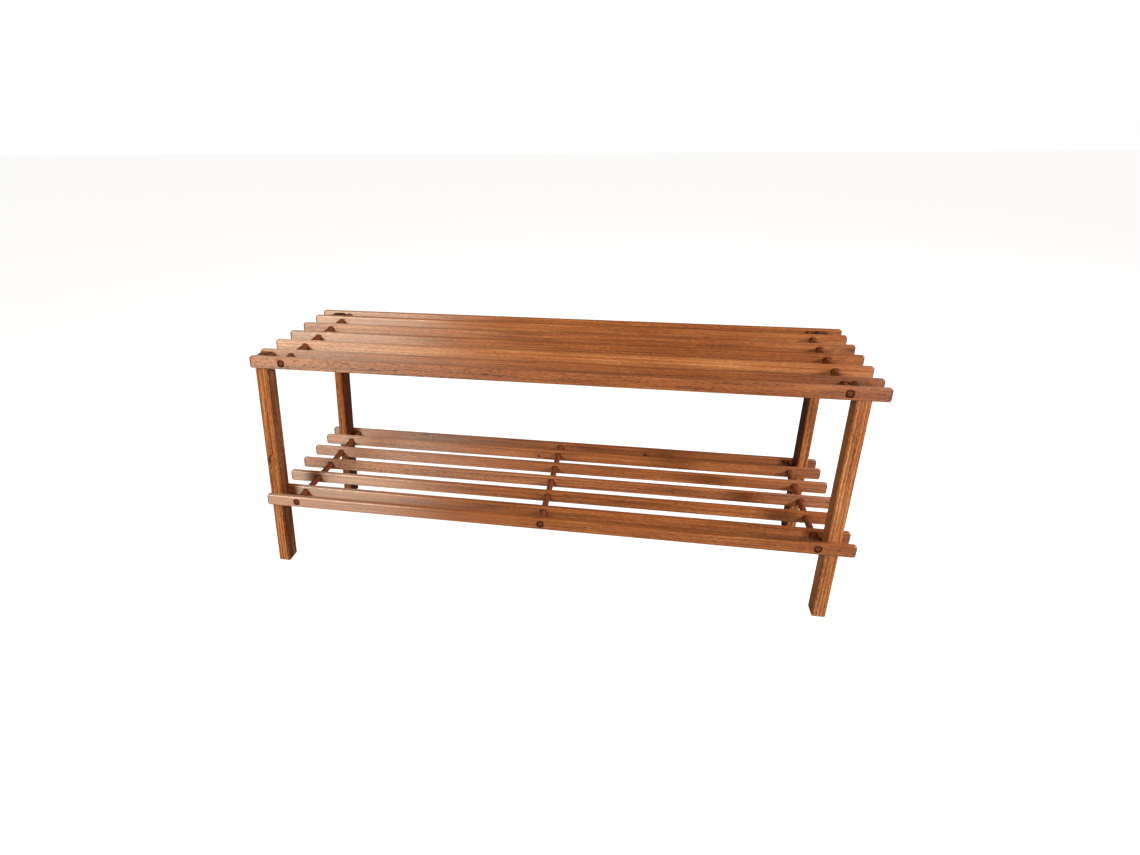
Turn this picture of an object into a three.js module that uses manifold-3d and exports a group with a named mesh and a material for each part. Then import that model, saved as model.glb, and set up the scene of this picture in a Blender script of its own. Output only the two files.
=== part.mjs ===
// A two-tier slatted entryway bench, in millimetres.
// Each shelf is seven slats on edge, strung on round dowels that run from front to back.
// The four legs stand in the narrow gaps at the front and the rear, and a countersunk screw
// through the slat behind each leg holds it at each shelf.
// +X runs along the slats, -Y is the front and +Z is up. The origin is on the floor, in the middle.

import * as THREE from 'three';
import { mergeVertices } from 'three/addons/utils/BufferGeometryUtils.js';
import Module from 'manifold-3d';

// Overall sizes
const BENCH_LENGTH = 740;
const BENCH_DEPTH = 260;
const BENCH_HEIGHT = 298;

// Slats
const SLATS_PER_SHELF = 7;
const SLAT_HEIGHT = 15;
const SLAT_THICKNESS = 8;
const SLAT_END_RADIUS = 2.5;
const SLAT_EDGE_ROUND = 1.2;
const LOWER_SHELF_CLEARANCE = 91;

// Legs, and how far each one stands in from the ends of the slats
const LEG_WIDTH = 16;
const LEG_DEPTH = 24;
const LEG_TOP_RECESS = 2;
const LEG_CORNER_RADIUS = 1.5;
const LEG_EDGE_ROUND = 1;
const LEG_INSETS = {
  front_left: 2.5,
  front_right: 16,
  rear_left: 19,
  rear_right: 17.5,
};

// Dowels, and how far the outer ones stay inside of the innermost leg
const DOWEL_DIAMETER = 8;
const DOWEL_TO_LEG = 3;
const DOWEL_SINK = 0.2;

// Countersunk wood screws
const SCREW_LENGTH = 24;
const SCREW_SHANK_DIAMETER = 3.5;
const SCREW_HEAD_DIAMETER = 7;
const SCREW_HEAD_HEIGHT = 2.4;
const SCREW_RIM = 0.3;
const SCREW_TIP_LENGTH = 4;
const SCREW_TIP_DIAMETER = 0.8;
const SCREW_HEAD_SINK = 0.2;

// Clearance that each fitted face keeps to its neighbour
const FIT_CLEARANCE = 0.3;

// How finely the round shapes are cut
const CORNER_STEPS = 3;
const EDGE_STEPS = 1;
const ROUND_SIDES = 16;
const TOOL_OVERRUN = 1;

// Colours of the finishes
const STAINED_SLAT = { color: 0xb0693f, roughness: 0.42, metalness: 0 };
const STAINED_LEG = { color: 0xa8632f, roughness: 0.45, metalness: 0 };
const STAINED_DOWEL = { color: 0x73391b, roughness: 0.5, metalness: 0 };
const PLATED_STEEL = { color: 0xb9b3a2, roughness: 0.35, metalness: 1 };

const wasm = await Module();
wasm.setup();

// A closed geometry as a solid that can be cut.
function toSolid(geometry) {
  const bare = geometry.index ? geometry.toNonIndexed() : geometry.clone();
  bare.deleteAttribute('normal');
  bare.deleteAttribute('uv');
  const merged = mergeVertices(bare, 1e-4);
  return new wasm.Manifold(new wasm.Mesh({
    numProp: 3,
    vertProperties: new Float32Array(merged.attributes.position.array),
    triVerts: new Uint32Array(merged.index.array),
  }));
}

// A solid back as a geometry.
function toGeometry(solid) {
  const mesh = solid.getMesh();
  const geometry = new THREE.BufferGeometry();
  geometry.setAttribute('position', new THREE.BufferAttribute(mesh.vertProperties, mesh.numProp));
  geometry.setIndex(new THREE.BufferAttribute(mesh.triVerts, 1));
  const flat = geometry.toNonIndexed();
  flat.computeVertexNormals();
  return flat;
}

// A blank with each tool taken away from it.
function cut(blank, tools) {
  let solid = toSolid(blank);
  for (const tool of tools) {
    solid = solid.subtract(toSolid(tool));
  }
  return toGeometry(solid);
}

// A rectangle centred on the origin, with round corners.
function roundedRectangle(width, height, radius) {
  const x = width / 2 - radius;
  const y = height / 2 - radius;
  const shape = new THREE.Shape();
  shape.absarc(x, y, radius, 0, Math.PI / 2, false);
  shape.absarc(-x, y, radius, Math.PI / 2, Math.PI, false);
  shape.absarc(-x, -y, radius, Math.PI, 1.5 * Math.PI, false);
  shape.absarc(x, -y, radius, 1.5 * Math.PI, 2 * Math.PI, false);
  return shape;
}

// A board centred on the origin: its outline is in the XZ plane, its thickness along Y,
// and all the edges of both faces are eased. The corner radius is larger than the easing.
function board(length, height, thickness, cornerRadius, edgeRound) {
  const outline = roundedRectangle(
    length - 2 * edgeRound,
    height - 2 * edgeRound,
    cornerRadius - edgeRound,
  );
  const geometry = new THREE.ExtrudeGeometry(outline, {
    depth: thickness - 2 * edgeRound,
    curveSegments: CORNER_STEPS,
    bevelEnabled: true,
    bevelThickness: edgeRound,
    bevelSize: edgeRound,
    bevelSegments: EDGE_STEPS,
  });
  geometry.translate(0, 0, edgeRound - thickness / 2);
  geometry.rotateX(Math.PI / 2);
  return geometry;
}

// A round bar along Y from yStart to yEnd, at x and z.
function barAlongY(radius, x, yStart, yEnd, z) {
  const bar = new THREE.CylinderGeometry(radius, radius, yEnd - yStart, ROUND_SIDES);
  bar.translate(x, (yStart + yEnd) / 2, z);
  return bar;
}

// A screw-shaped turning about Y, with its head's rim at y = 0 and its point towards -Y.
// The margin makes it fatter and longer, and the rim goes on as a short cylinder of height rim.
function screwTurning(margin, rim) {
  const shank = SCREW_SHANK_DIAMETER / 2 + margin;
  const head = SCREW_HEAD_DIAMETER / 2 + margin;
  const tip = SCREW_TIP_DIAMETER / 2 + margin;
  return new THREE.LatheGeometry([
    new THREE.Vector2(0, -SCREW_LENGTH - margin),
    new THREE.Vector2(tip, -SCREW_LENGTH - margin),
    new THREE.Vector2(shank, SCREW_TIP_LENGTH - SCREW_LENGTH),
    new THREE.Vector2(shank, -SCREW_HEAD_HEIGHT),
    new THREE.Vector2(head, -SCREW_RIM),
    new THREE.Vector2(head, rim),
    new THREE.Vector2(0, rim),
  ], ROUND_SIDES);
}

// Slat places, from front to rear. The two narrow gaps hold the legs.
const LEG_PITCH = LEG_DEPTH + 2 * FIT_CLEARANCE + SLAT_THICKNESS;
const OPEN_SPACES = SLATS_PER_SHELF - 3;
const OPEN_PITCH = (BENCH_DEPTH - SLAT_THICKNESS - 2 * LEG_PITCH) / OPEN_SPACES;
const FRONT_SLAT_Y = (SLAT_THICKNESS - BENCH_DEPTH) / 2;

function slatY(number) {
  if (number === 1) {
    return FRONT_SLAT_Y;
  }
  if (number === SLATS_PER_SHELF) {
    return -FRONT_SLAT_Y;
  }
  return FRONT_SLAT_Y + LEG_PITCH + (number - 2) * OPEN_PITCH;
}

// Shelves: the height of the slats' middle, and where the dowels cross them.
const INNERMOST_LEG_FACE = BENCH_LENGTH / 2 - Math.max(...Object.values(LEG_INSETS)) - LEG_WIDTH;
const DOWEL_X = INNERMOST_LEG_FACE - DOWEL_TO_LEG - DOWEL_DIAMETER / 2;
const SHELVES = [
  {
    name: 'upper',
    z: BENCH_HEIGHT - SLAT_HEIGHT / 2,
    dowels: { left: -DOWEL_X, right: DOWEL_X },
  },
  {
    name: 'lower',
    z: LOWER_SHELF_CLEARANCE + SLAT_HEIGHT / 2,
    dowels: { left: -DOWEL_X, middle: 0, right: DOWEL_X },
  },
];

// Legs: the middle of each, and the slat behind it that its screws go through.
const FRONT_LEG_Y = FRONT_SLAT_Y + LEG_PITCH / 2;
const LEGS = Object.entries(LEG_INSETS).map(([name, inset]) => {
  const side = name.endsWith('left') ? -1 : 1;
  const isFront = name.startsWith('front');
  return {
    name,
    x: side * (BENCH_LENGTH / 2 - inset - LEG_WIDTH / 2),
    y: isFront ? FRONT_LEG_Y : -FRONT_LEG_Y,
    screwedSlat: isFront ? 2 : SLATS_PER_SHELF,
  };
});

function screwHeadY(leg) {
  return slatY(leg.screwedSlat) + SLAT_THICKNESS / 2 - SCREW_HEAD_SINK;
}

function screwHole(leg, z) {
  const hole = screwTurning(FIT_CLEARANCE, TOOL_OVERRUN);
  hole.translate(leg.x, screwHeadY(leg), z);
  return hole;
}

const group = new THREE.Group();

function addPiece(name, geometry, finish, x, y, z) {
  const mesh = new THREE.Mesh(geometry, new THREE.MeshStandardMaterial(finish));
  mesh.name = name;
  mesh.position.set(x, y, z);
  group.add(mesh);
}

// Slats, each bored for its dowels and, behind a leg, for its screws.
for (const shelf of SHELVES) {
  for (let number = 1; number <= SLATS_PER_SHELF; number += 1) {
    const y = slatY(number);
    const blank = board(BENCH_LENGTH, SLAT_HEIGHT, SLAT_THICKNESS, SLAT_END_RADIUS, SLAT_EDGE_ROUND);
    const boreReach = SLAT_THICKNESS / 2 + TOOL_OVERRUN;
    const boreRadius = DOWEL_DIAMETER / 2 + FIT_CLEARANCE;
    const tools = Object.values(shelf.dowels).map(
      (x) => barAlongY(boreRadius, x, -boreReach, boreReach, 0),
    );
    for (const leg of LEGS.filter((each) => each.screwedSlat === number)) {
      const hole = screwHole(leg, 0);
      hole.translate(0, -y, 0);
      tools.push(hole);
    }
    addPiece(`${shelf.name}_slat_${number}`, cut(blank, tools), STAINED_SLAT, 0, y, shelf.z);
  }
}

// Legs, with a blind hole for the screw at each shelf.
const LEG_LENGTH = BENCH_HEIGHT - LEG_TOP_RECESS;
for (const leg of LEGS) {
  const blank = board(LEG_WIDTH, LEG_LENGTH, LEG_DEPTH, LEG_CORNER_RADIUS, LEG_EDGE_ROUND);
  const tools = SHELVES.map((shelf) => {
    const hole = screwHole(leg, shelf.z);
    hole.translate(-leg.x, -leg.y, -LEG_LENGTH / 2);
    return hole;
  });
  addPiece(`leg_${leg.name}`, cut(blank, tools), STAINED_LEG, leg.x, leg.y, LEG_LENGTH / 2);
}

// Dowels, from the front slat's face to the rear slat's, a little sunk at each end.
const DOWEL_HALF_LENGTH = BENCH_DEPTH / 2 - DOWEL_SINK;
for (const shelf of SHELVES) {
  for (const [place, x] of Object.entries(shelf.dowels)) {
    const dowel = barAlongY(DOWEL_DIAMETER / 2, 0, -DOWEL_HALF_LENGTH, DOWEL_HALF_LENGTH, 0);
    addPiece(`${shelf.name}_dowel_${place}`, dowel, STAINED_DOWEL, x, 0, shelf.z);
  }
}

// Screws, one for each leg at each shelf.
for (const shelf of SHELVES) {
  for (const leg of LEGS) {
    const name = `screw_${shelf.name}_${leg.name}`;
    addPiece(name, screwTurning(0, 0), PLATED_STEEL, leg.x, screwHeadY(leg), shelf.z);
  }
}

export default group;
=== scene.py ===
# %% [markdown]
# # A slatted entryway bench
# The bench is fourteen thin slats on edge, four slim legs, five round dowels and eight screws.
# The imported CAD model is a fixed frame: it says where each piece is and how big it is. This lesson
# replaces each plain solid with a finished one in the same place, and gives it stained and varnished
# wood or plated steel. All lengths are in metres.

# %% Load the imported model
import math

import bpy
import numpy as np
from mathutils import Matrix, Vector


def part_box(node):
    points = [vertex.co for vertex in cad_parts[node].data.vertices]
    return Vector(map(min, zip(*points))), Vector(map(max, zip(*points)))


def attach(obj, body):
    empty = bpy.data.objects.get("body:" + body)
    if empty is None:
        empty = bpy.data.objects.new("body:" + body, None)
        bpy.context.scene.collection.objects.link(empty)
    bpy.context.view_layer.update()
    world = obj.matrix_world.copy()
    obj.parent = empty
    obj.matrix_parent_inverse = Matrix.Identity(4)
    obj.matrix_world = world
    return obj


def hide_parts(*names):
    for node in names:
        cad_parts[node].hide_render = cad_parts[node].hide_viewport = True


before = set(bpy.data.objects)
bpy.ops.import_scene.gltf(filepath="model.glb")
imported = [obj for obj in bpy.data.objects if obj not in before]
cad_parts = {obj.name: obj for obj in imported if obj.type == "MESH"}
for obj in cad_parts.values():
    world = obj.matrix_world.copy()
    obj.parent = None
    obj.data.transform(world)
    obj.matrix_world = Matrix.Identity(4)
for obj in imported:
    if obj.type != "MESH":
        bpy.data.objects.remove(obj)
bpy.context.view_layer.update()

MM = 0.001
print("nodes:", len(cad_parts))

# %% [markdown]
# ## The camera
# It comes first, because every later choice is judged through it. It stands low and close, a little to
# the right of the middle, and looks down. So near, the slats' far ends shrink a lot, and a wide lens
# is needed to take in the whole length. The shift frames the bench without turning the camera.

# %% Camera
CAMERA_PLACE = Vector((0.0946, -0.9954, 0.5682))
TURN_LEFT = math.radians(12.71)
LOOK_DOWN = math.radians(25.0)
ROLL = math.radians(-0.85)
SENSOR_WIDTH = 36.0
LENS = 24.64
SHIFT_RIGHT = 0.0953
SHIFT_UP = 0.0440

camera_data = bpy.data.cameras.new("camera")
camera_data.sensor_width = SENSOR_WIDTH
camera_data.lens = LENS
camera_data.shift_x = SHIFT_RIGHT
camera_data.shift_y = SHIFT_UP
camera = bpy.data.objects.new("camera", camera_data)
bpy.context.scene.collection.objects.link(camera)
aim = (
    Matrix.Rotation(TURN_LEFT, 4, "Z")
    @ Matrix.Rotation(math.pi / 2 - LOOK_DOWN, 4, "X")
    @ Matrix.Rotation(ROLL, 4, "Z")
)
camera.matrix_world = Matrix.Translation(CAMERA_PLACE) @ aim
bpy.context.scene.camera = camera
print("lens, mm:", LENS)

# %% [markdown]
# ## Turning arrays into a piece
# Every new piece is worked out as whole numpy arrays: a table of points, and tables of faces that hold
# point numbers. One function writes them into a mesh. If the volume comes out negative, the faces
# point inwards, so all of them are turned round. Edges sharper than an angle stay crisp, and gentler
# ones are shaded as one smooth surface.

# %% Mesh helpers
CRISP_ANGLE = math.radians(40)


def face_volume(points, faces):
    """Six times the volume under a table of faces: each face is cut into a fan of triangles from its
    first corner, and each triangle adds a . (b x c)."""
    total = 0.0
    for corner in range(1, faces.shape[1] - 1):
        a, b, c = (points[faces[:, i]] for i in (0, corner, corner + 1))
        total += np.einsum("ij,ij->", a, np.cross(b, c))
    return total


def make_piece(name, points, face_tables):
    """A mesh object named name. points is n x 3, and each face table holds the point numbers of faces
    that have the same number of corners."""
    if sum(face_volume(points, faces) for faces in face_tables) < 0:
        face_tables = [faces[:, ::-1] for faces in face_tables]
    mesh = bpy.data.meshes.new(name)
    mesh.from_pydata(points, [], [face for faces in face_tables for face in faces.tolist()])
    mesh.shade_smooth()
    mesh.set_sharp_from_angle(angle=CRISP_ANGLE)
    piece = bpy.data.objects.new(name, mesh)
    bpy.context.scene.collection.objects.link(piece)
    return piece


def band(first, second):
    """The faces between two closed loops of point numbers of the same length."""
    return np.stack([first, np.roll(first, -1), np.roll(second, -1), second], axis=1)


def fan(loop, tip):
    """The triangles between a closed loop of point numbers and one tip."""
    return np.stack([loop, np.roll(loop, -1), np.full(len(loop), tip)], axis=1)


print("edges are crisp above, degrees:", round(math.degrees(CRISP_ANGLE)))

# %% [markdown]
# ## A board with eased edges and bores
# A slat or a leg is a sawn and planed stick with its long edges eased and its ends rounded off. A cube
# with a Bevel modifier would give that, but the bores would then need a boolean, which leaves long
# thin triangles. Here the board is a grid: one direction runs round the section, the other along the
# length. The board's own directions are u along it, v across its faces and w through it. At each bore
# a square window is left open in the grid. A chain of loops then leads from the window's border in to
# the bore's rim, down its wall, and out through the other face or to a point where it is blind.

# %% The section and the stations along the length
EDGE_ARC_STEPS = 5
END_ARC_STEPS = 8
WINDOW_CELLS = 8
LINES_BEFORE_WINDOW = 2
SUPPORT = 0.25 * MM


def section_lines(flat_v, flat_w, window):
    """The lines that run along the board, as points of a rounded rectangle in (v, w). Each is a point
    of the inner rectangle, of half sizes flat_v and flat_w, and the direction in which the edge
    radius is added to it. The faces have evenly spaced rows across the window. The last two results
    are the numbers of the first line of the window in the front face and in the rear face."""
    rows = np.concatenate([
        [-flat_v, SUPPORT - flat_v],
        np.linspace(-window, window, WINDOW_CELLS + 1),
        [flat_v - SUPPORT, flat_v],
    ])
    sides = np.array([-flat_w, SUPPORT - flat_w, 0, flat_w - SUPPORT, flat_w])
    bend = np.linspace(0, math.pi / 2, EDGE_ARC_STEPS + 1)[1:-1]
    inner = []
    outward = []
    for side in range(4):
        along, reach = (sides, flat_v) if side % 2 else (rows, flat_w)
        angle = (side - 1) * math.pi / 2
        normal = np.array([math.cos(angle), math.sin(angle)])
        run = np.array([-normal[1], normal[0]])
        flat = reach * normal + along[:, None] * run
        corner = np.stack([np.cos(angle + bend), np.sin(angle + bend)], axis=1)
        inner += [flat, np.tile(flat[-1], (len(bend), 1))]
        outward += [np.tile(normal, (len(along), 1)), corner]
    front_row = LINES_BEFORE_WINDOW
    rear_row = front_row + len(rows) + len(sides) + 2 * len(bend)
    return np.concatenate(inner), np.concatenate(outward), front_row, rear_row


def station_places(length, end_radius, bores, window):
    """The places of the sections along u: an arc at each end, where u = radius (1 - cos angle), and
    the lines of each bore's window."""
    turn = np.linspace(0, math.pi / 2, END_ARC_STEPS + 1)
    ends = end_radius * (1 - np.cos(turn))
    steps = np.linspace(-window, window, WINDOW_CELLS + 1)
    windows = [bore["u"] + steps for bore in bores]
    return np.unique(np.round(np.concatenate([ends, length - ends, *windows]), 8))


def inset(distance, radius):
    """How far a rounded end falls in at a distance from its tip: radius - sqrt(radius^2 - gap^2),
    where gap is what is left of the radius."""
    gap = radius - np.clip(distance, 0, radius)
    return radius - np.sqrt(radius**2 - gap**2)


def board_grid(size, edge_radius, end_radius, window, bores):
    """The board's sections at all stations, as stations x lines x (u, v, w), and the window's first
    lines. Near an end the inner rectangle shrinks by the inset, which rounds the end off."""
    flat = np.array([size[1] / 2 - edge_radius, size[2] / 2 - edge_radius])
    inner, outward, front_row, rear_row = section_lines(*flat, window)
    u = station_places(size[0], end_radius, bores, window)
    tip = np.minimum(u, size[0] - u)
    fall = np.stack([inset(tip, end_radius), inset(tip, edge_radius)], axis=1)
    section = inner * (1 - fall[:, None] / flat) + edge_radius * outward
    lengthwise = np.broadcast_to(u[:, None, None], (*section.shape[:2], 1))
    return np.concatenate([lengthwise, section], axis=2), front_row, rear_row


print("inset at the tip, halfway and at a whole radius:", inset(np.array([0, 0.5, 1]), 1).round(3))

# %% [markdown]
# ## Cutting the bores
# A bore's rim is a circle, and its window's border is a square with the same number of points. The
# loops between them are mixtures of the two, so no face is thin or twisted. Each point of the board
# also gets a number that says how near it is to a bore, because stain soaks in there.

# %% Bores
COLLAR_SHARES = np.array([0.5, 0.8])
COLLAR_SOAK = [0.1, 0.7]


def window_border():
    """The border of a window, as steps along u and along v from its first corner."""
    step = np.arange(WINDOW_CELLS)
    far = np.full(WINDOW_CELLS, WINDOW_CELLS)
    along = np.concatenate([step, far, far - step, 0 * step])
    return along, np.concatenate([0 * step, step, far, far - step])


def bore_chain(border, bore, far_border):
    """The loops of points of one bore, from the window's border to the far side, in (u, v, w).
    Each border point's angle about the axis gives its partners on the circles: u = centre + r cos,
    v = r sin. Between a border and a rim, the loops are straight mixtures of the two."""
    angle = np.arctan2(border[:, 1], border[:, 0] - bore["u"])
    circles = [
        np.stack([bore["u"] + r * np.cos(angle), r * np.sin(angle), np.full(len(angle), w)], axis=1)
        for w, r in bore["rings"]
    ]
    collar = [border + share * (circles[0] - border) for share in COLLAR_SHARES]
    if far_border is None:
        return collar + circles
    far_collar = [far_border + share * (circles[-1] - far_border) for share in COLLAR_SHARES[::-1]]
    return collar + circles + far_collar


def board_arrays(size, edge_radius, end_radius, window, bores):
    """A board of size (length, height, thickness): its points in (u, v, w), its face tables, and for
    each point how near it is to a bore, from 0 to 1. u starts at one end, and v and w at the middle.
    A bore enters at the +w face."""
    grid, front_row, rear_row = board_grid(size, edge_radius, end_radius, window, bores)
    number = np.arange(grid.shape[0] * grid.shape[1]).reshape(grid.shape[:2])
    around = np.roll(number, -1, axis=1)
    cells = np.stack([number[:-1], number[1:], around[1:], around[:-1]], axis=2)
    kept = np.ones(cells.shape[:2], bool)
    points = [grid.reshape(-1, 3)]
    near_bore = [np.zeros(number.size)]
    quads = []
    triangles = []
    count = number.size
    border_u, border_v = window_border()
    for bore in bores:
        first = int(np.argmin(np.abs(grid[:, 0, 0] - (bore["u"] - window))))
        stretch = slice(first, first + WINDOW_CELLS)
        kept[stretch, rear_row:rear_row + WINDOW_CELLS] = False
        loop = number[first + border_u, rear_row + border_v]
        far_loop = None
        far_border = None
        if bore["through"]:
            kept[stretch, front_row:front_row + WINDOW_CELLS] = False
            far_loop = number[first + border_u, front_row + WINDOW_CELLS - border_v]
            far_border = points[0][far_loop]
        rings = bore_chain(points[0][loop], bore, far_border)
        shares = COLLAR_SOAK + [1.0] * (len(rings) - len(COLLAR_SOAK))
        if bore["through"]:
            shares[-len(COLLAR_SOAK):] = COLLAR_SOAK[::-1]
        for ring, share in zip(rings, shares):
            next_loop = count + np.arange(len(loop))
            points.append(ring)
            near_bore.append(np.full(len(loop), share))
            quads.append(band(loop, next_loop))
            loop = next_loop
            count += len(loop)
        if bore["through"]:
            quads.append(band(loop, far_loop))
        else:
            points.append(np.array([[bore["u"], 0, bore["tip"]]]))
            near_bore.append(np.ones(1))
            triangles.append(fan(loop, count))
            count += 1
    quads.append(cells[kept])
    caps = [number[:1], number[-1:, ::-1]]
    faces = [np.concatenate(quads), *triangles, *caps]
    return np.concatenate(points), faces, np.concatenate(near_bore)


print("points on a window's border:", len(window_border()[0]))

# %% [markdown]
# ## Where the wood comes from
# Wood is a solid with a pattern all through it: rings about the tree's heart, stretched along the
# trunk. Painting that on each face separately would show seams at the edges. Instead every board is
# given a place in an imaginary trunk, and each of its points remembers where in the trunk it was cut.
# The material reads this, so faces, edges and end grain all agree, and no two boards are alike.

# %% Cutting a board from a trunk
SEED = 20
TRUNK_LENGTH_MM = 4000
trunk_random = np.random.default_rng(SEED)


def trunk_places(board_points, heart_distance):
    """Where each board point lay in the trunk, in mm: u along it, and (v, w) turned by a random angle
    and moved out from the heart. The heart distances are a range to draw from."""
    turn = trunk_random.uniform(0, 2 * math.pi)
    out = trunk_random.uniform(*heart_distance)
    start = trunk_random.uniform(0, TRUNK_LENGTH_MM)
    u, v, w = board_points.T / MM
    across = v * math.cos(turn) - w * math.sin(turn) + out
    deep = v * math.sin(turn) + w * math.cos(turn)
    return np.stack([u + start, across, deep], axis=1)


def remember_wood(piece, places, depth, roughness):
    """Stores on the piece's points their places in the trunk, how deep the stain is there (with painted
    shade added on the legs' inner sides), and how rough the varnish is."""
    attribute = piece.data.attributes.new("trunk_place", "FLOAT_VECTOR", "POINT")
    attribute.data.foreach_set("vector", np.asarray(places, np.float32).ravel())
    for name, value in (("stain_and_shade_depth", depth), ("varnish_roughness", roughness)):
        attribute = piece.data.attributes.new(name, "FLOAT", "POINT")
        attribute.data.foreach_set("value", np.broadcast_to(np.float32(value), len(places)))


print("the trunk's seed and length, mm:", SEED, TRUNK_LENGTH_MM)

# %% [markdown]
# ## The slats
# Fourteen slats, bored right through for the dowels. The slat behind each leg also has a countersunk
# bore for the screw. Sizes and places come from the frame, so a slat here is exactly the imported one
# with rounder edges. No two slats took the stain and the varnish alike, so each has its own depth of
# stain and roughness. Its ends and the rims of its bores soaked up more, and are darker and matt.

# %% Slats
FIT_CLEARANCE = 0.3 * MM
SLAT_EDGE_RADIUS = 1.6 * MM
SLAT_END_RADIUS = 2.6 * MM
SLAT_WINDOW = 5.4 * MM
SCREW_SHANK_RADIUS = 1.75 * MM
SCREW_HEAD_RADIUS = 3.5 * MM
SCREW_HEAD_HEIGHT = 2.4 * MM
SLAT_HEART_DISTANCE = (40, 120)
SOAKED_STAIN = 0.7
SLAT_STAIN = {
    "upper": (0.64, 0.64, 0.36, 0.58, 0.54, 0.48, 0.52),
    "lower": (0.60, 0.64, 0.64, 0.60, 0.60, 0.58, 0.72),
}
SLAT_ROUGHNESS = {
    "upper": (0.76, 0.64, 0.52, 0.44, 0.56, 0.35, 0.42),
    "lower": (0.36, 0.40, 0.42, 0.74, 0.62, 0.56, 0.58),
}


def node_names(start):
    """The CAD nodes whose names begin with start, in order."""
    return sorted(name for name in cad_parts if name.startswith(start))


def middle(node):
    """The middle of a CAD node's box."""
    low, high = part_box(node)
    return (low + high) / 2


def finish_piece(piece, node):
    """The piece rides on the bench's only body and stands for the CAD node."""
    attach(piece, "root")
    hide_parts(node)


def through_bore(u, half_w, radius):
    """A plain bore at u through a board whose faces are at w = half_w and -half_w."""
    return {"u": u, "through": True, "rings": [(half_w, radius), (-half_w, radius)]}


def countersunk_bore(u, half_w):
    """A clearance bore whose rear end opens out for the screw's head."""
    shank = SCREW_SHANK_RADIUS + FIT_CLEARANCE
    head = SCREW_HEAD_RADIUS + FIT_CLEARANCE
    rings = [(half_w, head), (half_w - SCREW_HEAD_HEIGHT, shank), (-half_w, shank)]
    return {"u": u, "through": True, "rings": rings}


slats = []
for shelf in ("upper", "lower"):
    dowels = node_names(f"{shelf}_dowel")
    screws = node_names(f"screw_{shelf}")
    slat_nodes = node_names(f"{shelf}_slat")
    for node, stain, roughness in zip(slat_nodes, SLAT_STAIN[shelf], SLAT_ROUGHNESS[shelf]):
        low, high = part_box(node)
        size = (high.x - low.x, high.z - low.z, high.y - low.y)
        half_w = size[2] / 2
        dowel_low, dowel_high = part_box(dowels[0])
        bore_radius = (dowel_high.x - dowel_low.x) / 2 + FIT_CLEARANCE
        bores = [through_bore(middle(dowel).x - low.x, half_w, bore_radius) for dowel in dowels]
        headed = [screw for screw in screws if low.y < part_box(screw)[1].y < high.y]
        bores += [countersunk_bore(middle(screw).x - low.x, half_w) for screw in headed]
        points, faces, near_bore = board_arrays(size, SLAT_EDGE_RADIUS, SLAT_END_RADIUS, SLAT_WINDOW, bores)
        centre = middle(node)
        placed = np.stack([low.x + points[:, 0], centre.y + points[:, 2], centre.z + points[:, 1]], axis=1)
        slat = make_piece(f"{node}_board", placed, faces)
        places = trunk_places(points, SLAT_HEART_DISTANCE)
        from_end = np.minimum(points[:, 0], size[0] - points[:, 0])
        soaked = np.maximum(near_bore, np.clip(1 - from_end / SLAT_END_RADIUS, 0, 1))
        remember_wood(slat, places, stain + SOAKED_STAIN * soaked, roughness + (1 - roughness) * soaked)
        finish_piece(slat, node)
        slats.append(slat)
print("slats:", len(slats), "points each:", len(slats[0].data.vertices))

# %% [markdown]
# ## The legs
# A leg is the same kind of board stood on end, so the same function makes it. Its two bores are blind:
# each ends in the cone that the drill leaves. Its top is end grain, just below the slats' tops. The
# side that faces inwards is painted darker, as painted shade, and is nearly black on the rear legs. A
# power of the way across keeps that off the front: it stays near the outer side's value until just
# before the inner edge.

# %% Legs
LEG_EDGE_RADIUS = 1.2 * MM
LEG_END_RADIUS = 1.4 * MM
LEG_WINDOW = 3.2 * MM
LEG_HEART_DISTANCE = (15, 60)
LEG_ROUGHNESS = 0.45
INNER_SHADE_POWER = 6
# Each leg's stain on its outer side, and the depth on its inner side, which is painted shade.
LEG_STAIN_AND_INNER_SHADE = {
    "leg_front_left": (0.50, 0.86),
    "leg_front_right": (0.50, 0.52),
    "leg_rear_left": (0.63, 2.20),
    "leg_rear_right": (0.45, 2.20),
}


def blind_bore(u, half_w, depth):
    """A bore of the given depth from the +w face, with a drill's cone at the bottom."""
    radius = SCREW_SHANK_RADIUS + FIT_CLEARANCE
    bottom = half_w - depth
    return {
        "u": u,
        "through": False,
        "rings": [(half_w, radius), (bottom + radius, radius)],
        "tip": bottom,
    }


legs = []
for node in node_names("leg_"):
    low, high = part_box(node)
    size = (high.z - low.z, high.x - low.x, high.y - low.y)
    half_w = size[2] / 2
    bores = []
    for screw in node_names("screw_"):
        if screw.endswith(node.removeprefix("leg_")):
            depth = high.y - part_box(screw)[0].y + FIT_CLEARANCE
            bores.append(blind_bore(middle(screw).z - low.z, half_w, depth))
    points, faces, near_bore = board_arrays(size, LEG_EDGE_RADIUS, LEG_END_RADIUS, LEG_WINDOW, bores)
    centre = middle(node)
    placed = np.stack([centre.x + points[:, 1], centre.y + points[:, 2], low.z + points[:, 0]], axis=1)
    leg = make_piece(f"{node}_post", placed, faces)
    outer, inner = LEG_STAIN_AND_INNER_SHADE[node]
    # The inner side's painted shade comes in over the last part of the way across.
    inwards = 0.5 - math.copysign(1, centre.x) * points[:, 1] / size[1]
    stain = outer + (inner - outer) * inwards**INNER_SHADE_POWER + SOAKED_STAIN * near_bore
    remember_wood(leg, trunk_places(points, LEG_HEART_DISTANCE), stain, LEG_ROUGHNESS)
    finish_piece(leg, node)
    legs.append(leg)
print("legs:", len(legs), "points each:", len(legs[0].data.vertices))

# %% [markdown]
# ## The dowels
# A dowel is turned rod, cut to length and slightly chamfered so that it starts into its bore. It is a
# surface of revolution: a profile of places along the axis and radii, carried round a circle, and
# closed at each end in the middle. Its rims are darker and matt, like those of the bores: a rim is
# what lies within a few chamfers of the edge, across the end and along the rod.

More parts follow.
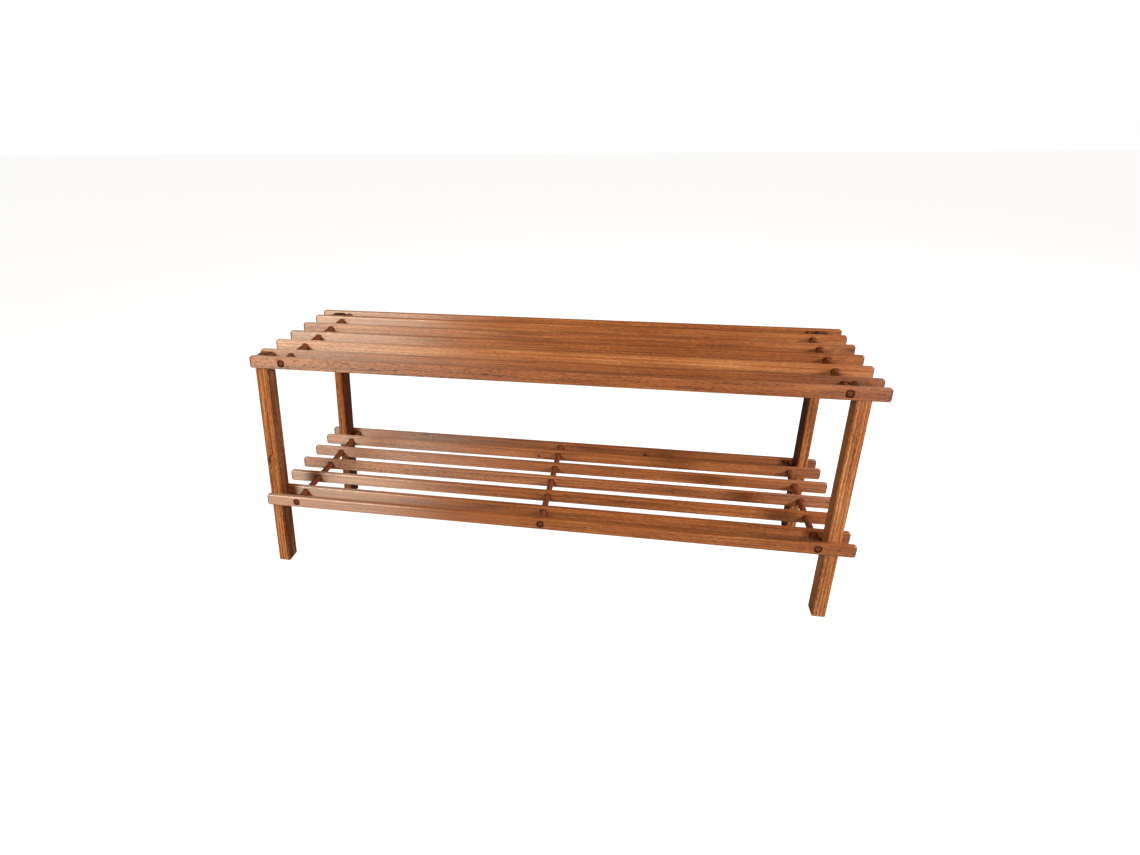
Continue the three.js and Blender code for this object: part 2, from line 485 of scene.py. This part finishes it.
# %% Dowels
DOWEL_SIDES = 48
DOWEL_CHAMFER = 0.5 * MM
DOWEL_DOME = 0.15 * MM
DOWEL_HEART_DISTANCE = (30, 90)
DOWEL_STAIN = 0.75
DOWEL_RIM_STAIN = 0.8
DOWEL_ROUGHNESS = 0.42
RIM_CHAMFERS = (2, 3)


def turned_arrays(profile, sides):
    """Points and face tables of a turned piece about u. profile holds (u, radius) from tip to tip,
    and its first and last points are on the axis: v = radius cos, w = radius sin."""
    profile = np.asarray(profile)
    angle = np.arange(sides) * 2 * math.pi / sides
    u = np.repeat(profile[1:-1, 0], sides)
    v = np.outer(profile[1:-1, 1], np.cos(angle)).ravel()
    w = np.outer(profile[1:-1, 1], np.sin(angle)).ravel()
    tips = np.array([[profile[0, 0], 0, 0], [profile[-1, 0], 0, 0]])
    points = np.concatenate([np.stack([u, v, w], axis=1), tips])
    loops = np.arange(len(u)).reshape(-1, sides)
    quads = np.concatenate([band(a, b) for a, b in zip(loops[:-1], loops[1:])])
    first_fan = fan(loops[0, ::-1], len(u))
    last_fan = fan(loops[-1], len(u) + 1)
    return points, [quads, first_fan, last_fan]


dowel_pieces = []
for node in node_names("upper_dowel") + node_names("lower_dowel"):
    low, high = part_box(node)
    length = high.y - low.y
    radius = (high.x - low.x) / 2
    rise = [(0, 0), (DOWEL_DOME, radius - 2.5 * DOWEL_CHAMFER), (2 * DOWEL_DOME, radius - DOWEL_CHAMFER)]
    rise += [(2 * DOWEL_DOME + DOWEL_CHAMFER, radius), (4 * DOWEL_CHAMFER, radius)]
    profile = rise + [(length - u, r) for u, r in rise[::-1]]
    points, faces = turned_arrays(profile, DOWEL_SIDES)
    centre = middle(node)
    placed = np.stack([centre.x + points[:, 1], low.y + points[:, 0], centre.z + points[:, 2]], axis=1)
    dowel = make_piece(f"{node}_rod", placed, faces)
    from_axis = np.hypot(points[:, 1], points[:, 2])
    from_end = np.minimum(points[:, 0], length - points[:, 0])
    across, along = RIM_CHAMFERS
    rim = (from_axis > radius - across * DOWEL_CHAMFER) & (from_end < along * DOWEL_CHAMFER)
    matt = DOWEL_ROUGHNESS + (1 - DOWEL_ROUGHNESS) * rim
    stain = DOWEL_STAIN + DOWEL_RIM_STAIN * rim
    remember_wood(dowel, trunk_places(points, DOWEL_HEART_DISTANCE), stain, matt)
    finish_piece(dowel, node)
    dowel_pieces.append(dowel)
print("dowels:", len(dowel_pieces))

# %% [markdown]
# ## The screws
# A countersunk wood screw is a cone for a head with a cross cut into it, a shank, and a thread that
# winds to a point. All of it can be one surface of revolution whose radius and height are waved: the
# thread makes the radius depend on the angle and the place together, and the cross lowers the top.

# %% Screws
SCREW_SIDES = 48
POINT_BLUNTING = 0.3 * MM
THREAD_PITCH = 1.6 * MM
THREAD_DEPTH = 0.5 * MM
THREAD_STEPS = 10
POINT_LENGTH = 4 * MM
SHANK_LENGTH = 8 * MM
CROSS_DEPTH = 1.3 * MM
CROSS_WIDTH = 0.9 * MM
CROSS_REACH = 2.1 * MM
HEAD_RINGS = 14
HEAD_RIM = 0.3 * MM


def cross_depth(v, w):
    """How far the cross is cut in at (v, w): two slots at right angles, each with sloping walls, and
    the deeper of the two counts."""
    def slot(across, along):
        wall = np.clip((CROSS_WIDTH / 2 - np.abs(across)) / (CROSS_WIDTH / 4), 0, 1)
        end = np.clip((CROSS_REACH - np.abs(along)) / CROSS_REACH * 2, 0, 1)
        return CROSS_DEPTH * wall * end
    return np.maximum(slot(v, w), slot(w, v))


def screw_arrays(length):
    """Points and face tables of a screw about u, with its point at u = 0 and its head's top at length.
    The core's radius grows from the point, and the thread adds depth times a triangle wave of
    (u / pitch - angle / turn)."""
    angle = np.arange(SCREW_SIDES) * 2 * math.pi / SCREW_SIDES
    threaded = np.arange(POINT_BLUNTING, length - SHANK_LENGTH, THREAD_PITCH / THREAD_STEPS)
    core = (SCREW_SHANK_RADIUS - THREAD_DEPTH) * np.minimum(threaded / POINT_LENGTH, 1)
    phase = threaded[:, None] / THREAD_PITCH - angle[None] / (2 * math.pi)
    wave = np.clip(1 - 4 * np.abs(phase - np.round(phase)), 0, 1)
    runout = np.clip((threaded[-1] - threaded) / THREAD_PITCH, 0, 1) * np.minimum(threaded / POINT_LENGTH, 1)
    thread = core[:, None] + THREAD_DEPTH * wave * runout[:, None]
    plain = np.array([
        (length - SHANK_LENGTH, SCREW_SHANK_RADIUS - THREAD_DEPTH / 2),
        (length - SCREW_HEAD_HEIGHT, SCREW_SHANK_RADIUS - THREAD_DEPTH / 2),
        (length - HEAD_RIM, SCREW_HEAD_RADIUS),
    ])
    top = np.linspace(1, 0, HEAD_RINGS, endpoint=False) * SCREW_HEAD_RADIUS
    radius = np.concatenate([thread, np.outer(plain[:, 1], np.ones(SCREW_SIDES)),
                             np.outer(top, np.ones(SCREW_SIDES))])
    u = np.concatenate([threaded, plain[:, 0], np.full(HEAD_RINGS, length)])
    v = radius * np.cos(angle)
    w = radius * np.sin(angle)
    u = np.broadcast_to(u[:, None], v.shape).copy()
    u[-HEAD_RINGS:] -= cross_depth(v[-HEAD_RINGS:], w[-HEAD_RINGS:])
    tips = np.array([[0, 0, 0], [length - CROSS_DEPTH, 0, 0]])
    points = np.concatenate([np.stack([u, v, w], axis=2).reshape(-1, 3), tips])
    loops = np.arange(u.size).reshape(u.shape)
    quads = np.concatenate([band(a, b) for a, b in zip(loops[:-1], loops[1:])])
    return points, [quads, fan(loops[0, ::-1], u.size), fan(loops[-1], u.size + 1)]


screw_pieces = []
for node in node_names("screw_"):
    low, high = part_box(node)
    points, faces = screw_arrays(high.y - low.y)
    centre = middle(node)
    placed = np.stack([centre.x + points[:, 1], low.y + points[:, 0], centre.z + points[:, 2]], axis=1)
    screw = make_piece(f"{node}_fixing", placed, faces)
    finish_piece(screw, node)
    screw_pieces.append(screw)
print("screws:", len(screw_pieces), "points each:", len(screw_pieces[0].data.vertices))

# %% [markdown]
# ## Materials
# Colours are chosen as a screen shows them and turned to linear light once. One small function adds a
# node, sets its properties and links its inputs, so that a material reads as a list of steps.

# %% Colour and node helpers


def linear(hex_colour):
    """sRGB hex to linear RGBA: up to 0.04045 a channel is c / 12.92, above it ((c + 0.055) / 1.055)^2.4."""
    channels = np.array([int(hex_colour[i:i + 2], 16) for i in (1, 3, 5)]) / 255
    light = np.where(channels <= 0.04045, channels / 12.92, ((channels + 0.055) / 1.055) ** 2.4)
    return (*light.tolist(), 1.0)


def add_node(tree, kind, inputs=None, **settings):
    """Adds a node. settings are its own properties. inputs maps a socket's name or number to a value,
    or to another node's output, which is then linked."""
    node = tree.nodes.new(kind)
    for name, value in settings.items():
        setattr(node, name, value)
    for socket, value in (inputs or {}).items():
        if isinstance(value, bpy.types.NodeSocket):
            tree.links.new(value, node.inputs[socket])
        else:
            node.inputs[socket].default_value = value
    return node


def new_material(name):
    """A material with an empty node tree, and that tree."""
    material = bpy.data.materials.new(name)
    material.use_nodes = True
    material.node_tree.nodes.clear()
    return material, material.node_tree


print("mid grey on a screen, linear:", round(linear("#808080")[0], 3))

# %% [markdown]
# ## Stained and varnished wood
# The slats and legs are fir: sawn, planed, stained a warm brown and sprayed with satin varnish. Stain
# moves wood along one line of colours, from tan through red-brown to nearly black, and almost all that
# shows is a step along that line. So the material adds up one number, the stain's depth, and looks it
# up in a ramp. Growth rings soak up more where they are dense, each fading in slowly and ending
# sharply. Streaks and fibres follow the grain, patches come and go along it, end grain drinks more,
# and knots are nearly black with the rings bent round them. Only some reddish streaks lie off the
# line, and they are mixed in after it.
# The eye also reads the fibres in the shine. They are fine ridges along the grain, so a highlight is
# narrow along them and wide across them, as on brushed metal. The anisotropy gives that. The fibres
# also make the varnish uneven. At sawn ends and on the rims of bores it has sunk in: they are matt,
# and the little shine that is left takes the wood's own colour.

# %% Growth rings
RING_WIDTH_MM = 2.4
RING_UNEVENNESS_MM = 5.0
RING_UNEVEN_OVER_MM = 8
RING_WANDER_MM = 5.0
RING_WANDER_SIZE_MM = (200, 24)
RING_CURVE = [(0.0, 0.0), (0.4, 0.15), (0.8, 1.0), (1.0, 0.0)]


def grain_noise(tree, trunk, size_mm, detail):
    """Noise in the trunk, stretched to size_mm along the grain and across it, from 0 to 1."""
    along, across = size_mm
    place = add_node(
        tree, "ShaderNodeVectorMath", {0: trunk, 1: (1 / along, 1 / across, 1 / across)},
        operation="MULTIPLY",
    )
    return add_node(
        tree, "ShaderNodeTexNoise", {"Vector": place.outputs[0], "Scale": 1.0, "Detail": detail}
    ).outputs[0]


def ring_darkness(tree, trunk, bulge):
    """How dense the wood is across a ring: the distance from the heart, in ring widths, keeps only
    its fraction, and a curve lets it rise slowly and drop fast. Before that, noise makes the distance
    wander and the rings unequal, and knots push it out."""
    crosswise = add_node(tree, "ShaderNodeVectorMath", {0: trunk, 1: (0, 1, 1)}, operation="MULTIPLY")
    radius = add_node(tree, "ShaderNodeVectorMath", {0: crosswise.outputs[0]}, operation="LENGTH")
    wander = grain_noise(tree, trunk, RING_WANDER_SIZE_MM, 2.0)
    radius = add_node(
        tree, "ShaderNodeMath", {0: wander, 1: RING_WANDER_MM, 2: radius.outputs["Value"]},
        operation="MULTIPLY_ADD",
    )
    if bulge is not None:
        radius = add_node(tree, "ShaderNodeMath", {0: radius.outputs[0], 1: bulge}, operation="ADD")
    uneven = add_node(
        tree, "ShaderNodeTexNoise", {"W": radius.outputs[0], "Scale": 1 / RING_UNEVEN_OVER_MM},
        noise_dimensions="1D",
    )
    radius = add_node(
        tree, "ShaderNodeMath", {0: uneven.outputs[0], 1: RING_UNEVENNESS_MM, 2: radius.outputs[0]},
        operation="MULTIPLY_ADD",
    )
    rings = add_node(
        tree, "ShaderNodeMath", {0: radius.outputs[0], 1: RING_WIDTH_MM}, operation="DIVIDE"
    )
    share = add_node(tree, "ShaderNodeMath", {0: rings.outputs[0]}, operation="FRACT")
    darkness = add_node(tree, "ShaderNodeFloatCurve", {"Value": share.outputs[0]})
    curve = darkness.mapping.curves[0]
    curve.points[0].location = RING_CURVE[0]
    curve.points[1].location = RING_CURVE[-1]
    for share_across, density in RING_CURVE[1:-1]:
        curve.points.new(share_across, density)
    darkness.mapping.update()
    return darkness.outputs[0]


print("ring width, mm:", RING_WIDTH_MM)

# %% Knots
KNOT_BULGE_MM = 4.0
KNOT_EDGE = (0.4, 1.2)
KNOT_PUSH_REACH = 3.0


def knot_steps(tree, knots):
    """The darkness of the knots and how far they push the rings, or None twice if there are no knots.
    Each knot is an ellipsoid: the distance from its centre, in its half sizes, is eased from 1 inside
    to 0 outside. knots holds (centre, half sizes) on the object, in metres."""
    place = add_node(tree, "ShaderNodeTexCoord").outputs["Object"]
    dark, bulge = None, None
    for centre, half_sizes in knots:
        local = add_node(
            tree, "ShaderNodeMapping", {"Vector": place, "Location": centre, "Scale": half_sizes},
            vector_type="TEXTURE",
        )
        reach = add_node(tree, "ShaderNodeVectorMath", {0: local.outputs[0]}, operation="LENGTH")
        reach = reach.outputs["Value"]
        core = add_node(
            tree, "ShaderNodeMapRange",
            {0: reach, "From Min": KNOT_EDGE[0], "From Max": KNOT_EDGE[1], "To Min": 1.0, "To Max": 0.0},
            interpolation_type="SMOOTHSTEP",
        ).outputs[0]
        push = add_node(
            tree, "ShaderNodeMapRange",
            {0: reach, "From Max": KNOT_PUSH_REACH, "To Min": KNOT_BULGE_MM, "To Max": 0.0},
            interpolation_type="SMOOTHERSTEP",
        ).outputs[0]
        if dark is None:
            dark, bulge = core, push
        else:
            dark = add_node(tree, "ShaderNodeMath", {0: dark, 1: core}, operation="MAXIMUM").outputs[0]
            bulge = add_node(tree, "ShaderNodeMath", {0: bulge, 1: push}, operation="ADD").outputs[0]
    return dark, bulge


print("a knot bends the rings by, mm:", KNOT_BULGE_MM)

# %% End grain and the stain's colour
END_CUT = (0.2, 0.7)
RED_SIZE_MM = (45, 2.5)
RED_NOISE = (0.5, 0.75)
RED_SHARE = 0.3
RED_STAIN = "#a04420"
COLOUR_A, COLOUR_B, MIXED_COLOUR = 6, 7, 2


def end_grain(tree, fibre_axis):
    """1 where the surface cuts across the fibres, 0 where it runs along them: |normal . fibre axis|,
    from the first number of END_CUT to the second."""
    normal = add_node(tree, "ShaderNodeNewGeometry").outputs["True Normal"]
    facing = add_node(
        tree, "ShaderNodeVectorTransform", {"Vector": normal},
        vector_type="NORMAL", convert_from="WORLD", convert_to="OBJECT",
    )
    facing = add_node(
        tree, "ShaderNodeVectorMath", {0: facing.outputs[0], 1: fibre_axis}, operation="DOT_PRODUCT"
    )
    across = add_node(tree, "ShaderNodeMath", {0: facing.outputs["Value"]}, operation="ABSOLUTE")
    return add_node(
        tree, "ShaderNodeMapRange",
        {"Value": across.outputs[0], "From Min": END_CUT[0], "From Max": END_CUT[1]},
    ).outputs[0]


def mixed_colour(tree, factor, first, second):
    """The mix of two colours. The Mix node has sockets for each type, so these go by their numbers."""
    sockets = {0: factor, COLOUR_A: first, COLOUR_B: second}
    return add_node(tree, "ShaderNodeMix", sockets, data_type="RGBA").outputs[MIXED_COLOUR]


def stain_colour(tree, depth, stain_line, trunk, end):
    """The colour at a depth on the stain's line, with reddish streaks except on end grain."""
    ramp = add_node(tree, "ShaderNodeValToRGB", {"Fac": depth})
    stops = ramp.color_ramp.elements
    while len(stops) < len(stain_line):
        stops.new(0.5)
    for stop, (position, colour) in zip(stops, stain_line):
        stop.position = position
        stop.color = linear(colour)
    share = add_node(
        tree, "ShaderNodeMath", {0: end, 1: -RED_SHARE, 2: RED_SHARE}, operation="MULTIPLY_ADD"
    ).outputs[0]
    redness = grain_noise(tree, trunk, RED_SIZE_MM, 1.0)
    red = add_node(
        tree, "ShaderNodeMapRange",
        {"Value": redness, "From Min": RED_NOISE[0], "From Max": RED_NOISE[1], "To Max": share},
    ).outputs[0]
    return mixed_colour(tree, red, ramp.outputs[0], linear(RED_STAIN))


print("reddish streaks, share at most:", RED_SHARE)

# %% [markdown]
# ## The varnish
# Two things about it vary over the surface. The roughness is the board's own, raised and lowered by
# the fibres, and goes up on end grain. The highlight's direction follows the fibres. They point
# straight out of a sawn end, which would leave it no direction there, so it is tilted a little.

# %% Stained and varnished wood
FIBRE_SIZE_MM = (5, 1.1)
STREAK_SIZE_MM = (110, 1.6)
PATCH_SIZE_MM = (110, 18)
NOISE_MEAN = 0.5
RING_MEAN = 0.35
ROUGHNESS_SPREAD = 0.6
END_ROUGHNESS = 0.4
MATT_ROUGHNESS = (0.75, 0.95)
RING_RELIEF = 0.5
RELIEF_MM = 0.12
FIBRE_TILT = 0.02


def varnish_roughness(tree, fibre, end):
    """The board's own roughness + spread * (fibre - mean) + END_ROUGHNESS * end, at most 1."""
    gloss = add_node(tree, "ShaderNodeAttribute", attribute_name="varnish_roughness").outputs["Fac"]
    gloss = add_node(
        tree, "ShaderNodeMath", {0: gloss, 1: NOISE_MEAN * ROUGHNESS_SPREAD}, operation="SUBTRACT"
    ).outputs[0]
    gloss = add_node(
        tree, "ShaderNodeMath", {0: fibre, 1: ROUGHNESS_SPREAD, 2: gloss}, operation="MULTIPLY_ADD"
    ).outputs[0]
    return add_node(
        tree, "ShaderNodeMath", {0: end, 1: END_ROUGHNESS, 2: gloss},
        operation="MULTIPLY_ADD", use_clamp=True,
    ).outputs[0]


def stained_wood(name, fibre_axis, stain_line, weights, sheen, knots=()):
    """Varnished wood with its fibres along fibre_axis. stain_line holds (depth, hex colour) stops, and
    weights say how far the rings, streaks, fibres, patches, end grain and knots move the depth. Their
    mean is taken off again, so that the piece's own depth stays its mean. sheen is the level of the
    shine."""
    material, tree = new_material(name)
    trunk = add_node(tree, "ShaderNodeAttribute", attribute_name="trunk_place").outputs["Vector"]
    # The depth carries painted shade on the legs' inner sides, as well as the stain.
    depth = add_node(tree, "ShaderNodeAttribute", attribute_name="stain_and_shade_depth").outputs["Fac"]
    knot, bulge = knot_steps(tree, knots)
    ring = ring_darkness(tree, trunk, bulge)
    fibre = grain_noise(tree, trunk, FIBRE_SIZE_MM, 2.0)
    streak = grain_noise(tree, trunk, STREAK_SIZE_MM, 3.0)
    patch = grain_noise(tree, trunk, PATCH_SIZE_MM, 2.0)
    end = end_grain(tree, fibre_axis)
    steps = {"ring": ring, "streak": streak, "fibre": fibre, "patch": patch, "end": end, "knot": knot}
    for part, step in steps.items():
        if step is not None:
            depth = add_node(
                tree, "ShaderNodeMath", {0: step, 1: weights[part], 2: depth}, operation="MULTIPLY_ADD"
            ).outputs[0]
    noises = weights["streak"] + weights["fibre"] + weights["patch"]
    mean = NOISE_MEAN * noises + RING_MEAN * weights["ring"]
    depth = add_node(tree, "ShaderNodeMath", {0: depth, 1: mean}, operation="SUBTRACT").outputs[0]
    colour = stain_colour(tree, depth, stain_line, trunk, end)
    gloss = varnish_roughness(tree, fibre, end)
    matt = add_node(
        tree, "ShaderNodeMapRange",
        {"Value": gloss, "From Min": MATT_ROUGHNESS[0], "From Max": MATT_ROUGHNESS[1]},
    ).outputs[0]
    relief = add_node(
        tree, "ShaderNodeMath", {0: ring, 1: RING_RELIEF, 2: fibre}, operation="MULTIPLY_ADD"
    ).outputs[0]
    bump = add_node(
        tree, "ShaderNodeBump", {"Height": relief, "Strength": 0.5, "Distance": RELIEF_MM * MM}
    ).outputs[0]
    tilted = add_node(tree, "ShaderNodeCombineXYZ", dict(enumerate(np.array(fibre_axis) + FIBRE_TILT)))
    fibres = add_node(
        tree, "ShaderNodeVectorTransform", {"Vector": tilted.outputs[0]},
        vector_type="VECTOR", convert_from="OBJECT", convert_to="WORLD",
    ).outputs[0]
    shader = add_node(
        tree, "ShaderNodeBsdfPrincipled",
        {
            "Base Color": colour,
            "Roughness": gloss,
            "Normal": bump,
            "Tangent": fibres,
            "IOR": 1.7,
            "Specular IOR Level": sheen,
            "Specular Tint": mixed_colour(tree, matt, linear("#ffffff"), colour),
            "Anisotropic": 1.0,
            "Anisotropic Rotation": 0.25,
            "Coat Weight": 0.05,
            "Coat Roughness": 0.3,
        },
    )
    add_node(tree, "ShaderNodeOutputMaterial", {"Surface": shader.outputs[0]})
    return material


print("relief of the fibres, mm:", RELIEF_MM)

# %% [markdown]
# ## Fir for the slats and the legs
# The slats shine more than the legs do. The streaks and the fibres move the stain's depth most. Each
# knot is a branch that was sawn through, so it has one fixed place on the bench.

# %% Slat and leg finish
SLAT_WEIGHTS = {"ring": 0.18, "streak": 0.75, "fibre": 0.9, "patch": 0.5, "end": 0.2, "knot": 0.40}
LEG_WEIGHTS = {"ring": 0.20, "streak": 1.3, "fibre": 0.9, "patch": 0.5, "end": 0.30, "knot": 0.25}
SLAT_LINE = [(0.0, "#ca8c5a"), (0.5, "#9a582b"), (1.0, "#46200e")]
LEG_LINE = [(0.0, "#cf9964"), (0.5, "#9c6038"), (1.0, "#341509")]
SLAT_KNOTS = [
    ((0.128, 0.122, 0.0966), (0.0040, 0.006, 0.0030)),
    ((-0.029, 0.0894, 0.0965), (0.0035, 0.006, 0.0030)),
    ((-0.214, 0.122, 0.1055), (0.0080, 0.006, 0.0022)),
    ((-0.1495, -0.130, 0.2835), (0.0045, 0.006, 0.0016)),
    ((0.366, 0.0427, 0.2925), (0.0110, 0.006, 0.0028)),
]
LEG_KNOTS = [((-0.3639, -0.1217, 0.1532), (0.0040, 0.010, 0.0055))]
slat_material = stained_wood(
    "satin_varnished_fir_slat", (1, 0, 0), SLAT_LINE, SLAT_WEIGHTS, 1.0, SLAT_KNOTS
)
leg_material = stained_wood(
    "satin_varnished_fir_leg", (0, 0, 1), LEG_LINE, LEG_WEIGHTS, 0.25, LEG_KNOTS
)
for slat in slats:
    slat.data.materials.append(slat_material)
for leg in legs:
    leg.data.materials.append(leg_material)
print("nodes in the slats' material:", len(slat_material.node_tree.nodes))

# %% [markdown]
# ## Stained beech
# The dowels are beech, which is denser and almost without rings. The same stain goes darker and redder
# on it.

# %% Dowel finish
BEECH_WEIGHTS = {"ring": 0.05, "streak": 0.30, "fibre": 0.30, "patch": 0.20, "end": 0.05, "knot": 0.0}
DOWEL_LINE = [(0.0, "#a4633f"), (0.5, "#7c4227"), (1.0, "#451f10")]
dowel_material = stained_wood("satin_varnished_beech", (0, 1, 0), DOWEL_LINE, BEECH_WEIGHTS, 0.25)
for dowel in dowel_pieces:
    dowel.data.materials.append(dowel_material)
print("nodes in the dowels' material:", len(dowel_material.node_tree.nodes))

# %% [markdown]
# ## Zinc-plated steel
# The screws are plated, so they are metal all over with a faintly yellow tint and a soft gloss. Small
# uneven patches keep the plating from looking like a mirror.

# %% Screw finish
PLATING_PATCH_MM = 1.5
PLATING_ROUGHNESS = (0.25, 0.45)


def plated_steel():
    """Steel whose roughness goes up and down in patches between the two values."""
    material, tree = new_material("zinc_plated_steel")
    place = add_node(tree, "ShaderNodeTexCoord").outputs["Object"]
    cloud = add_node(
        tree, "ShaderNodeTexNoise", {"Vector": place, "Scale": 1 / (PLATING_PATCH_MM * MM), "Detail": 2.0}
    )
    smooth, rough = PLATING_ROUGHNESS
    gloss = add_node(
        tree, "ShaderNodeMapRange", {"Value": cloud.outputs[0], "To Min": smooth, "To Max": rough}
    )
    shader = add_node(
        tree, "ShaderNodeBsdfPrincipled",
        {"Base Color": linear("#c9c2ae"), "Metallic": 1.0, "Roughness": gloss.outputs[0]},
    )
    add_node(tree, "ShaderNodeOutputMaterial", {"Surface": shader.outputs[0]})
    return material


screw_material = plated_steel()
for screw in screw_pieces:
    screw.data.materials.append(screw_material)
print("nodes in the screws' material:", len(screw_material.node_tree.nodes))

# %% [markdown]
# ## Studio
# The bench stands on white paper in a bright studio, and three soft lights shape it. A key light at
# the front left has a narrow spread. It throws each dowel's shadow to its right and puts a sheen on
# the slats' left ends that fades out towards the middle. A small fill light stands at the front right,
# and its shadows fall to the left. A large light stands high at the right and lights the top edges.
# Paper as white as this would throw so much light back up that the legs' shaded sides would vanish.
# So both the paper and the surroundings look white to the camera, but give the wood a dimmer and
# warmer light.

# %% Floor and surroundings
FLOOR_HALF = 12.0
PAPER_GLOW = 0.94
PAPER_SEEN = "#8f8f8f"
PAPER_BOUNCE = "#90826f"
STUDIO_BOUNCE = "#5a4632"
floor_mesh = bpy.data.meshes.new("studio_floor")
corners = [(x * FLOOR_HALF, y * FLOOR_HALF, 0.0) for x, y in ((-1, -1), (1, -1), (1, 1), (-1, 1))]
floor_mesh.from_pydata(corners, [], [(0, 1, 2, 3)])
floor = bpy.data.objects.new("studio_floor", floor_mesh)
bpy.context.scene.collection.objects.link(floor)
paper, paper_tree = new_material("white_paper")
seen = add_node(paper_tree, "ShaderNodeLightPath").outputs["Is Camera Ray"]
lit = add_node(paper_tree, "ShaderNodeBsdfDiffuse", {"Color": linear(PAPER_SEEN)})
glow = add_node(paper_tree, "ShaderNodeEmission", {"Strength": PAPER_GLOW})
white = add_node(paper_tree, "ShaderNodeAddShader", {0: lit.outputs[0], 1: glow.outputs[0]})
dim = add_node(paper_tree, "ShaderNodeBsdfDiffuse", {"Color": linear(PAPER_BOUNCE)})
shown = add_node(paper_tree, "ShaderNodeMixShader", {0: seen, 1: dim.outputs[0], 2: white.outputs[0]})
add_node(paper_tree, "ShaderNodeOutputMaterial", {"Surface": shown.outputs[0]})
floor.data.materials.append(paper)

surroundings = bpy.data.worlds.new("studio")
surroundings.use_nodes = True
sky = surroundings.node_tree
sky.nodes.clear()
seen = add_node(sky, "ShaderNodeLightPath").outputs["Is Camera Ray"]
tint = mixed_colour(sky, seen, linear(STUDIO_BOUNCE), linear("#ffffff"))
backdrop = add_node(sky, "ShaderNodeBackground", {"Color": tint})
add_node(sky, "ShaderNodeOutputWorld", {"Surface": backdrop.outputs[0]})
bpy.context.scene.world = surroundings
print("paper, m:", 2 * FLOOR_HALF)

# %% Lights and the view transform


def soft_light(name, place, target, width, height, watts, colour, spread):
    """A soft box, width x height, at place and facing target. Its light fans out over spread degrees."""
    data = bpy.data.lights.new(name, "AREA")
    data.shape = "RECTANGLE"
    data.size = width
    data.size_y = height
    data.energy = watts
    data.color = linear(colour)[:3]
    data.spread = math.radians(spread)
    light = bpy.data.objects.new(name, data)
    light.location = place
    light.rotation_euler = (Vector(target) - Vector(place)).to_track_quat("-Z", "Y").to_euler()
    bpy.context.scene.collection.objects.link(light)


soft_light("key_light", (-1.02, -1.44, 0.88), (-0.36, 0, 0.2), 0.80, 0.35, 4.4, "#fffae4", 64)
soft_light("fill_light", (1.25, -1.15, 0.60), (0.1, 0, 0.2), 0.25, 0.25, 24, "#ffffff", 180)
soft_light("top_light", (1.90, 0.30, 1.60), (0, 0, 0.2), 0.60, 0.60, 60, "#ffffff", 180)

scene = bpy.context.scene
scene.view_settings.view_transform = "Standard"
scene.view_settings.look = "None"
scene.view_settings.exposure = 0.0
